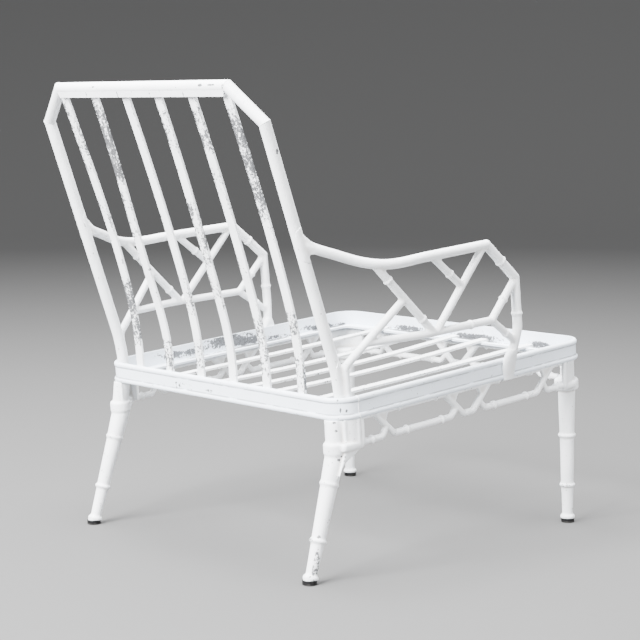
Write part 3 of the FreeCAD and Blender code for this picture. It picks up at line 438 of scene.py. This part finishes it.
def worn_paint(
        name, rubs=(), rub=0.0, chips=0.10, along=(1.0, 1.0, 1.0),
        nicks=(), edges=None, rim=False, cast=False):
    """White paint in thick old coats, rubbed through at the given places, with small chips; on the rim
    with painted skylight and painted shade in its grooves, on castings with dirt and painted shade in the
    hollows and under the rods.
    """
    tones = bpy.context.scene.patio_paint
    finish = Finish(name)
    place = finish.place()
    drawn = finish.vector("MULTIPLY", place, along)
    cloud = finish.smooth(finish.noise(place, *CLOUD_NOISE), *CLOUD_LEVELS)
    lump = finish.noise(drawn, *LUMP_NOISE)
    grit = finish.noise(place, *GRIT_NOISE)
    patchy = finish.noise(drawn, *PATCHY_NOISE)
    mottle = finish.noise(place, *MOTTLE_NOISE)
    level = patchy * PATCHY_SHARE + mottle * MOTTLE_SHARE + rub
    for middle, reach, strength in rubs:
        level = level + finish.patch(place, middle, reach) * strength
    if edges:
        centre, half = edges
        across = finish.node("ShaderNodeSeparateXYZ", None, {0: place}) - centre
        across = finish.node("ShaderNodeMath", {"operation": "ABSOLUTE"}, {0: across})
        start = finish.smooth(across, half - EDGE_START[0], half - EDGE_START[1])
        end = finish.smooth(across, half - EDGE_END[0], half - EDGE_END[1])
        level = level + (start - end) * EDGE_WEAR
    if cast:
        crest = finish.node("ShaderNodeAttribute", {"attribute_name": "crest"}, None, 2)
        level = level + crest * CREST_WEAR
    bare = finish.smooth(level, *BARE_LEVELS)
    thin = finish.smooth(level, *THIN_LEVELS)
    cells = {"Vector": place, "Scale": CHIP_SCALE}
    chance = finish.node("ShaderNodeTexVoronoi", None, cells, 1)
    chance = finish.node("ShaderNodeSeparateColor", None, {0: chance})
    distance = finish.node("ShaderNodeTexVoronoi", None, cells)
    size = (chance - (1.0 - chips)) * CHIP_GROWTH
    chip = finish.smooth(size - distance + (mottle - 0.5) * CHIP_UNEVEN, 0.0, CHIP_SOFT)
    for middle, reach in nicks:
        near = finish.patch(place, middle, reach) * NICK_WEIGHT
        nick = finish.smooth(near + (mottle - 0.5) * NICK_UNEVEN, *NICK_LEVELS)
        chip = finish.node("ShaderNodeMath", {"operation": "MAXIMUM"}, {0: chip, 1: nick})
    painted = finish.mix(cloud, opaque(tones.paint), opaque(tones.chalk))
    if rim:
        # Painted skylight: the rim's paint is tinted bluish.
        painted = finish.mix(RIM_SKYLIGHT, painted, opaque(tones.rim_skylight))
        # Painted shade: dark lines along the rim's grooves, broken up by noise.
        groove_shade_mask = rim_groove_shade(finish, place) * finish.smooth(patchy, *GROOVE_LEVELS)
        painted = finish.mix(groove_shade_mask * GROOVE_SHADE, painted, opaque(tones.groove_shade))
    if cast:
        # Dirt and painted shade in the hollows, painted shade on the faces that look down.
        hollow = finish.node("ShaderNodeAttribute", {"attribute_name": "hollow"}, None, 2)
        dirt_and_shade = finish.smooth(hollow + (patchy - 0.5) * GRIME_SHADE_UNEVEN, *GRIME_SHADE_LEVELS)
        painted = finish.mix(dirt_and_shade * GRIME_SHADE_STRENGTH, painted, opaque(tones.grime_and_shade))
    painted = finish.mix(thin * THIN_STRENGTH, painted, THIN_PAINT)
    clean = finish.smooth(grit + mottle, *STAIN_LEVELS)
    metal = finish.mix(clean, opaque(tones.stain), opaque(tones.bare))
    colour = finish.mix(bare * BARE_COVER, painted, metal)
    colour = finish.mix(chip * CHIP_COVER, colour, opaque(tones.stain))
    worn = finish.node("ShaderNodeMath", {"operation": "MAXIMUM"}, {0: bare, 1: chip})
    height = lump * tones.lump_depth + grit * GRIT_DEPTH - worn * tones.coat_depth
    bump = finish.node("ShaderNodeBump", None, {"Height": height, "Distance": 1.0, "Strength": 1.0})
    plain, chalky, grainy = PAINT_ROUGHNESS
    return finish.close({
        "Base Color": colour,
        "Roughness": plain + cloud * chalky + grit * grainy,
        "Metallic": bare * BARE_METALLIC,
        "Normal": bump,
    })


def worn_glide(name):
    """Black plastic feet, greyed and scuffed towards the floor."""
    finish = Finish(name)
    place = finish.place()
    scuff = finish.noise(finish.vector("MULTIPLY", place, SCUFF_ALONG), *SCUFF_NOISE)
    pores = finish.noise(place, *PORE_NOISE)
    height = finish.node("ShaderNodeSeparateXYZ", None, {0: place}, 2)
    low = 1.0 - finish.smooth(height, 0.0, GLIDE_DUST_HEIGHT)
    dust = finish.smooth(scuff + low * GLIDE_DUST_RISE, *GLIDE_DUST_LEVELS)
    relief = scuff * SCUFF_DEPTH + pores * PORE_DEPTH
    plain, dusty = GLIDE_ROUGHNESS
    return finish.close({
        "Base Color": finish.mix(dust, GLIDE_BLACK, GLIDE_DUST),
        "Roughness": plain + dust * dusty,
        "Specular IOR Level": GLIDE_SHINE,
        "Normal": finish.node("ShaderNodeBump", None, {"Height": relief, "Distance": 1.0}),
    })


def plain_floor(name):
    finish = Finish(name)
    tone = bpy.context.scene.patio_stage.floor
    return finish.close({"Base Color": opaque(tone), "Roughness": FLOOR_ROUGHNESS})


def dress(node, material):
    node_object = NODES[node]
    node_object.data.materials.clear()
    node_object.data.materials.append(material)


def add_piece(name, mesh, material=None):
    piece = bpy.data.objects.new(name, mesh)
    bpy.context.scene.collection.objects.link(piece)
    if material:
        mesh.materials.clear()
        mesh.materials.append(material)
    return piece


def settle(piece):
    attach(piece, "root")


def solid_copy(nodes):
    """The given nodes as one closed mesh of merged points."""
    shape = bmesh.new()
    for node in nodes:
        shape.from_mesh(NODES[node].data)
    bmesh.ops.remove_doubles(shape, verts=shape.verts, dist=MERGE_DISTANCE)
    return shape


def evaluated_mesh(piece, name):
    graph = bpy.context.evaluated_depsgraph_get()
    mesh = bpy.data.meshes.new_from_object(piece.evaluated_get(graph))
    mesh.name = name
    return mesh


def cast_mesh(name, own, carriers, rounds):
    """Rods run together as one soft casting, with a boss where they meet a tube that stays."""
    settings = bpy.context.scene.patio_cast
    shape = solid_copy(own + carriers)
    rough = bpy.data.meshes.new(name + "_rough")
    shape.to_mesh(rough)
    shape.free()
    piece = add_piece(name + "_rough", rough)
    swell = piece.modifiers.new("swell", "DISPLACE")
    swell.strength = settings.swell
    swell.mid_level = 0.0
    cells = piece.modifiers.new("cells", "REMESH")
    cells.mode = "VOXEL"
    cells.voxel_size = settings.cell
    soft = piece.modifiers.new("soft", "SMOOTH")
    soft.factor = 0.5
    soft.iterations = settings.even
    mesh = evaluated_mesh(piece, name)
    bpy.data.objects.remove(piece)
    bpy.data.meshes.remove(rough)
    fill_corners(mesh, rounds)
    if carriers:
        keep_near(mesh, own, settings.boss)
    mark_relief(mesh)
    for face in mesh.polygons:
        face.use_smooth = True
    return mesh


class Cells:
    """Points, normals and neighbours of a cast surface as arrays."""

    def __init__(self, mesh):
        self.count = len(mesh.vertices)
        places = np.empty(self.count * 3)
        mesh.vertices.foreach_get("co", places)
        self.places = places.reshape(-1, 3)
        pairs = np.empty(len(mesh.edges) * 2, dtype=np.int64)
        mesh.edges.foreach_get("vertices", pairs)
        self.pairs = pairs.reshape(-1, 2)
        self.degree = np.maximum(np.bincount(self.pairs.ravel(), minlength=self.count), 1)[:, None]

    def outward(self, mesh):
        normals = np.empty(self.count * 3)
        mesh.vertex_normals.foreach_get("vector", normals)
        return normals.reshape(-1, 3)

    def spread(self, values):
        """Mean of each point's neighbours."""
        first, second = self.pairs.T
        total = np.empty_like(values)
        for axis in range(values.shape[1]):
            ahead = np.bincount(first, values[second, axis], self.count)
            total[:, axis] = ahead + np.bincount(second, values[first, axis], self.count)
        return total / self.degree


def fill_corners(mesh, rounds):
    """Moves points outwards only, so that hollows fill and rings and rods keep their size."""
    cells = Cells(mesh)
    for step in range(rounds):
        outward = cells.outward(mesh)
        lift = np.einsum("ij,ij->i", cells.spread(cells.places) - cells.places, outward)
        cells.places += outward * np.maximum(lift, 0.0)[:, None] * FILL_PACE
        mesh.vertices.foreach_set("co", cells.places.ravel())
        mesh.update()


def mark_relief(mesh):
    """Stores how hollow or raised each point lies, for dirt and painted shade and for wear; faces that
    look down count as hollow, for painted shade.
    """
    cells = Cells(mesh)
    outward = cells.outward(mesh)
    soft = cells.places
    for step in range(RELIEF_ROUNDS):
        soft = (soft + cells.spread(soft)) / 2
    rise = np.einsum("ij,ij->i", soft - cells.places, outward)[:, None]
    for step in range(RELIEF_SOFT_ROUNDS):
        rise = (rise + cells.spread(rise)) / 2
    rise = (rise - np.median(rise)) / RELIEF_SCALE
    # Painted shade: faces that look down are marked as hollow, to be darkened.
    underside_shade = np.clip(-outward[:, 2:] - UNDERSIDE_SHADE_START, 0.0, 1.0) * UNDERSIDE_SHADE_STRENGTH
    marks = {"hollow": np.clip(rise + underside_shade, 0.0, 1.0), "crest": np.clip(-rise, 0.0, 1.0)}
    for label, values in marks.items():
        mark = mesh.attributes.new(label, "FLOAT", "POINT")
        mark.data.foreach_set("value", values.ravel())


def keep_near(mesh, own, reach):
    """Drops the faces of the carrying tube that lie away from the rods, and caps the cuts."""
    near = solid_copy(own)
    tree = BVHTree.FromBMesh(near)
    near.free()
    shape = bmesh.new()
    shape.from_mesh(mesh)
    far = [vert for vert in shape.verts if tree.find_nearest(vert.co, reach)[0] is None]
    bmesh.ops.delete(shape, geom=far, context="VERTS")
    rims = [edge for edge in shape.edges if edge.is_boundary]
    bmesh.ops.holes_fill(shape, edges=rims)
    bmesh.ops.triangulate(shape, faces=[face for face in shape.faces if len(face.verts) > 4])
    shape.to_mesh(mesh)
    shape.free()


def meeting_lines(node, others, reach=0.0008, crease=0.6):
    """Creased edges of a node that lie on its neighbours, chained into lines."""
    trees = []
    for other in others:
        shape = solid_copy([other])
        trees.append(BVHTree.FromBMesh(shape))
        shape.free()
    shape = solid_copy([node])

    def touches(point):
        return any(tree.find_nearest(point, reach)[0] is not None for tree in trees)

    links = {}
    for edge in shape.edges:
        if len(edge.link_faces) != 2 or edge.calc_face_angle(0.0) < crease:
            continue
        first, second = edge.verts
        if touches(first.co) and touches(second.co):
            links.setdefault(first.index, []).append(second.index)
            links.setdefault(second.index, []).append(first.index)
    points = [vert.co.copy() for vert in shape.verts]
    shape.free()
    lines = []
    while links:
        ends = [index for index, linked in links.items() if len(linked) == 1]
        here = ends[0] if ends else next(iter(links))
        line = [here]
        while links.get(here):
            there = links[here].pop()
            links[there].remove(here)
            for index in (here, there):
                if not links[index]:
                    del links[index]
            line.append(there)
            here = there
        closed = line[0] == line[-1]
        lines.append(([points[index] for index in line], closed))
    return lines


def bead_tree():
    """Geometry Nodes: an uneven bead along every line of a curve."""
    tree = bpy.data.node_groups.new("weld_bead", "GeometryNodeTree")
    face = tree.interface
    face.new_socket("Geometry", in_out="INPUT", socket_type="NodeSocketGeometry")
    for label in ("Radius", "Step", "Ripple"):
        face.new_socket(label, in_out="INPUT", socket_type="NodeSocketFloat")
    face.new_socket("Seed", in_out="INPUT", socket_type="NodeSocketInt")
    face.new_socket("Finish", in_out="INPUT", socket_type="NodeSocketMaterial")
    face.new_socket("Geometry", in_out="OUTPUT", socket_type="NodeSocketGeometry")

    def add(kind, links, **settings):
        made = tree.nodes.new(kind)
        for key, value in settings.items():
            setattr(made, key, value)
        for key, value in links.items():
            if isinstance(value, bpy.types.NodeSocket):
                tree.links.new(value, made.inputs[key])
            else:
                made.inputs[key].default_value = value
        return made

    given = add("NodeGroupInput", {}).outputs
    spacing = {"Curve": given["Geometry"], "Length": given["Step"]}
    even = add("GeometryNodeResampleCurve", spacing, mode="LENGTH")
    thin = add("ShaderNodeMath", {0: 1.0, 1: given["Ripple"]}, operation="SUBTRACT")
    uneven = add("FunctionNodeRandomValue", {"Seed": given["Seed"]}, data_type="FLOAT")
    tree.links.new(thin.outputs[0], uneven.inputs[2])
    uneven.inputs[3].default_value = 1.0
    thick = add("GeometryNodeSetCurveRadius", {"Curve": even.outputs[0], "Radius": uneven.outputs[1]})
    section = add("GeometryNodeCurvePrimitiveCircle", {"Resolution": 6})
    tree.links.new(given["Radius"], section.inputs["Radius"])
    links = {"Curve": thick.outputs[0], "Profile Curve": section.outputs[0], "Fill Caps": True}
    bead = add("GeometryNodeCurveToMesh", links)
    if "Scale" in bead.inputs:
        reach = add("GeometryNodeInputRadius", {})
        tree.links.new(reach.outputs[0], bead.inputs["Scale"])
    soft = add("GeometryNodeSetShadeSmooth", {"Geometry": bead.outputs[0]})
    real = add("GeometryNodeRealizeInstances", {"Geometry": soft.outputs[0]})
    finished = add("GeometryNodeSetMaterial", {"Geometry": real.outputs[0], "Material": given["Finish"]})
    add("NodeGroupOutput", {"Geometry": finished.outputs[0]})
    return tree


def bead_piece(name, lines, radius, material):
    """A plain mesh of the beads along the given lines."""
    curve = bpy.data.curves.new(name + "_lines", "CURVE")
    curve.dimensions = "3D"
    for points, closed in lines:
        run = points[:-1] if closed else points
        spline = curve.splines.new("POLY")
        spline.points.add(len(run) - 1)
        for point, place in zip(spline.points, run):
            point.co = (*place, 1.0)
        spline.use_cyclic_u = closed
    guide = bpy.data.objects.new(name + "_lines", curve)
    bpy.context.scene.collection.objects.link(guide)
    settings = bpy.context.scene.patio_bead
    tree = bpy.data.node_groups.get("weld_bead") or bead_tree()
    modifier = guide.modifiers.new("beads", "NODES")
    modifier.node_group = tree
    values = {
        "Radius": radius, "Step": settings.step, "Ripple": settings.ripple,
        "Seed": settings.seed, "Finish": material,
    }
    for item in tree.interface.items_tree:
        if item.in_out == "INPUT" and item.name in values:
            modifier[item.identifier] = values[item.name]
    mesh = evaluated_mesh(guide, name)
    guide.modifiers.remove(modifier)
    bpy.data.objects.remove(guide)
    bpy.data.curves.remove(curve)
    return add_piece(name, mesh)


def floor_mesh(stage):
    """A level disc whose edge curves up all round."""
    outline = [(0.0, 0.0), (stage.flat, 0.0)]
    for step in range(1, FLOOR_STEPS + 1):
        turn = math.radians(90.0 * step / FLOOR_STEPS)
        reach = stage.flat + stage.rise * math.sin(turn)
        outline.append((reach, stage.rise * (1.0 - math.cos(turn))))
    shape = bmesh.new()
    path = [shape.verts.new((reach, 0.0, height)) for reach, height in outline]
    edges = [shape.edges.new(pair) for pair in zip(path, path[1:])]
    bmesh.ops.spin(
        shape, geom=path + edges, cent=(0, 0, 0), axis=(0, 0, 1),
        angle=2 * math.pi, steps=FLOOR_TURNS, use_merge=True, use_duplicate=False)
    bmesh.ops.remove_doubles(shape, verts=shape.verts, dist=FLOOR_MERGE)
    bmesh.ops.recalc_face_normals(shape, faces=shape.faces)
    mesh = bpy.data.meshes.new("floor")
    shape.to_mesh(mesh)
    shape.free()
    for face in mesh.polygons:
        face.use_smooth = True
    return mesh


def add_light(name, place, size, power):
    """A soft square light aimed at the chair."""
    data = bpy.data.lights.new(name, "AREA")
    data.size = size
    data.energy = power
    light = bpy.data.objects.new(name, data)
    light.location = place
    light.rotation_mode = "QUATERNION"
    light.rotation_quaternion = (LIGHT_AIM - place).to_track_quat("-Z", "Y")
    bpy.context.scene.collection.objects.link(light)


def add_camera():
    """The camera that took the photo."""
    data = bpy.data.cameras.new("camera")
    data.sensor_width = SENSOR_WIDTH
    data.lens = FOCAL_PIXELS / PICTURE_PIXELS * SENSOR_WIDTH
    data.clip_end = CAMERA_REACH
    camera = bpy.data.objects.new("camera", data)
    azimuth, elevation, roll = (math.radians(angle) for angle in CAMERA_ANGLES)
    back = Vector((
        math.sin(azimuth) * math.cos(elevation),
        -math.cos(azimuth) * math.cos(elevation),
        math.sin(elevation),
    ))
    camera.location = CAMERA_PLACE
    camera.rotation_mode = "QUATERNION"
    camera.rotation_quaternion = Quaternion(back, roll) @ (-back).to_track_quat("-Z", "Y")
    bpy.context.scene.collection.objects.link(camera)
    return camera


class PATIO_OT_back_bars(bpy.types.Operator):
    """Paint the six back bars, each rubbed in its own stretches"""

    bl_idname = "patio.back_bars"
    bl_label = "Back bars"

    def execute(self, context):
        for number, stretches in enumerate(BACK_BAR_RUBS, 1):
            node = "back_bar_%d" % number
            low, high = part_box(node)
            middle = (Vector(low) + Vector(high)) / 2
            edges = (middle.x, high[0] - middle.x)
            rubs = []
            for height, half, strength in stretches:
                reach = (*BAR_REACH, half)
                rubs.append(((middle.x, middle.y, height), reach, strength))
            paint = worn_paint(
                "paint_" + node, rubs, rub=0.02, chips=0.12, along=(1.0, 1.0, 0.45), edges=edges)
            dress(node, paint)
        return {"FINISHED"}


class PATIO_OT_back_frame(bpy.types.Operator):
    """Paint the stiles, sloping corners and top rail"""

    bl_idname = "patio.back_frame"
    bl_label = "Back frame"

    def execute(self, context):
        stains = []
        for number in range(2, 6):
            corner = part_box("back_bar_%d" % number)[1]
            stains.append((tuple(corner), *RAIL_STAIN))
        rail = worn_paint("paint_top_rail", stains, chips=0.08, along=(0.4, 1.0, 1.0), nicks=RAIL_CHIPS)
        tube = worn_paint("paint_back_tubes", chips=0.06, along=(1.0, 1.0, 0.4), nicks=TUBE_CHIPS)
        dress("back_top_rail", rail)
        for side in SIDES:
            dress("back_stile_" + side, tube)
            dress("back_corner_" + side, tube)
        return {"FINISHED"}


class PATIO_OT_seat(bpy.types.Operator):
    """Paint the rim and the seat bars, rubbed where a cushion lies"""

    bl_idname = "patio.seat"
    bl_label = "Seat rim and bars"

    def execute(self, context):
        rim = worn_paint(
            "paint_rim", RIM_RUBS, chips=0.05, along=(0.5, 0.5, 1.0), nicks=RIM_CHIPS, rim=True)
        for node in ("seat_rim_front", "seat_rim_rear"):
            dress(node, rim)
        for number in range(1, 6):
            node = "seat_bar_%d" % number
            low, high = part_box(node)
            edges = ((low[0] + high[0]) / 2, (high[0] - low[0]) / 2)
            bar = worn_paint(
                "paint_" + node, rub=0.055, chips=0.12, along=(1.0, 0.45, 1.0), edges=edges)
            dress(node, bar)
        return {"FINISHED"}


class PATIO_OT_arms(bpy.types.Operator):
    """Cast each arm's rods together and paint them"""

    bl_idname = "patio.arms"
    bl_label = "Arms"

    def execute(self, context):
        paint = worn_paint("paint_arms", chips=0.05, cast=True)
        rounds = context.scene.patio_cast.fill
        for side in SIDES:
            own = ["arm_%s_%s" % (rod, side) for rod in ARM_RODS]
            for node in own:
                dress(node, paint)
            name = "arm_casting_" + side
            piece = add_piece(name, cast_mesh(name, own, ["back_stile_" + side], rounds), paint)
            settle(piece)
            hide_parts(*own)
        return {"FINISHED"}


class PATIO_OT_frets(bpy.types.Operator):
    """Cast the frets under the rim and paint them"""

    bl_idname = "patio.frets"
    bl_label = "Frets"

    def execute(self, context):
        paint = worn_paint("paint_frets", rub=0.01, chips=0.07, cast=True)
        rounds = context.scene.patio_cast.fill
        for place in SIDES + ("front",):
            node = "fret_" + place
            dress(node, paint)
            name = "fret_casting_" + place
            piece = add_piece(name, cast_mesh(name, [node], [], rounds), paint)
            settle(piece)
            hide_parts(node)
        return {"FINISHED"}


class PATIO_OT_legs(bpy.types.Operator):
    """Cast each leg into its bracket and paint them, chipped and rubbed towards the floor"""

    bl_idname = "patio.legs"
    bl_label = "Brackets and legs"

    def execute(self, context):
        paint = worn_paint(
            "paint_legs", LEG_RUBS, rub=0.02, chips=0.05, along=(1.0, 1.0, 0.35),
            nicks=LEG_CHIPS, cast=True)
        rounds = context.scene.patio_cast.leg_fill
        for end in ENDS:
            for side in SIDES:
                own = ["bracket_%s_%s" % (end, side), "leg_%s_%s" % (end, side)]
                for node in own:
                    dress(node, paint)
                name = "leg_casting_%s_%s" % (end, side)
                piece = add_piece(name, cast_mesh(name, own, [], rounds), paint)
                settle(piece)
                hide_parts(*own)
        return {"FINISHED"}


class PATIO_OT_glides(bpy.types.Operator):
    """Finish the black feet"""

    bl_idname = "patio.glides"
    bl_label = "Glides"

    def execute(self, context):
        black = worn_glide("black_glides")
        for end in ENDS:
            for side in SIDES:
                dress("glide_%s_%s" % (end, side), black)
        return {"FINISHED"}


class PATIO_OT_beads(bpy.types.Operator):
    """Lay weld beads along the seams of the back and the seat"""

    bl_idname = "patio.beads"
    bl_label = "Weld beads"

    def execute(self, context):
        paint = worn_paint("paint_beads", rub=0.02, chips=0.05)
        settings = context.scene.patio_bead
        back, mitres, seat = [], [], []
        for number in range(1, 7):
            back += meeting_lines("back_bar_%d" % number, ["back_top_rail", "seat_rim_rear"])
        for side in SIDES:
            neighbours = ["back_top_rail", "back_stile_" + side]
            mitres += meeting_lines("back_corner_" + side, neighbours)
        for number in range(1, 6):
            seat += meeting_lines("seat_bar_%d" % number, ["seat_rim_front", "seat_rim_rear"])
        seat += meeting_lines("seat_rim_rear", ["seat_rim_front"])
        groups = (
            ("weld_beads_back", back, settings.radius),
            ("weld_beads_mitres", mitres, settings.mitre),
            ("weld_beads_seat", seat, settings.radius),
        )
        for name, lines, radius in groups:
            settle(bead_piece(name, lines, radius, paint))
        return {"FINISHED"}


class PATIO_OT_stage(bpy.types.Operator):
    """Set the floor, the soft lights and the camera"""

    bl_idname = "patio.stage"
    bl_label = "Stage"

    def execute(self, context):
        stage = context.scene.patio_stage
        floor = add_piece("floor", floor_mesh(stage), plain_floor("plain_floor"))
        for name, place, size, power in LIGHTS:
            add_light(name, Vector(place), size, getattr(stage, power))
        world = bpy.data.worlds.new("soft_sky")
        world.use_nodes = True
        sky = world.node_tree.nodes["Background"]
        sky.inputs["Color"].default_value = SKY_COLOUR
        sky.inputs["Strength"].default_value = stage.sky
        context.scene.world = world
        context.scene.camera = add_camera()
        return {"FINISHED"}


class PATIO_PT_chair(bpy.types.Panel):
    """Lists the steps that dress the chair"""

    bl_idname = "PATIO_PT_chair"
    bl_label = "Patio lounge chair"
    bl_space_type = "VIEW_3D"
    bl_region_type = "UI"
    bl_category = "Patio Chair"

    def draw(self, context):
        for label, group in SETTINGS.items():
            settings = getattr(context.scene, label)
            box = self.layout.box()
            for key in group.__annotations__:
                box.prop(settings, key)
        for step in STEPS:
            self.layout.operator(step.bl_idname)


SETTINGS = {
    "patio_paint": PaintSettings,
    "patio_cast": CastSettings,
    "patio_bead": BeadSettings,
    "patio_stage": StageSettings,
}
STEPS = (
    PATIO_OT_stage,
    PATIO_OT_back_bars,
    PATIO_OT_back_frame,
    PATIO_OT_seat,
    PATIO_OT_arms,
    PATIO_OT_frets,
    PATIO_OT_legs,
    PATIO_OT_glides,
    PATIO_OT_beads,
)


def register():
    for group in SETTINGS.values():
        bpy.utils.register_class(group)
    for label, group in SETTINGS.items():
        setattr(bpy.types.Scene, label, bpy.props.PointerProperty(type=group))
    for step in STEPS:
        bpy.utils.register_class(step)
    bpy.utils.register_class(PATIO_PT_chair)


def unregister():
    bpy.utils.unregister_class(PATIO_PT_chair)
    for step in reversed(STEPS):
        bpy.utils.unregister_class(step)
    for label in SETTINGS:
        delattr(bpy.types.Scene, label)
    for group in reversed(list(SETTINGS.values())):
        bpy.utils.unregister_class(group)


def main():
    register()
    bpy.ops.patio.stage()
    bpy.ops.patio.back_bars()
    bpy.ops.patio.back_frame()
    bpy.ops.patio.seat()
    bpy.ops.patio.arms()
    bpy.ops.patio.frets()
    bpy.ops.patio.legs()
    bpy.ops.patio.glides()
    bpy.ops.patio.beads()


if __name__ == "__main__":
    main()
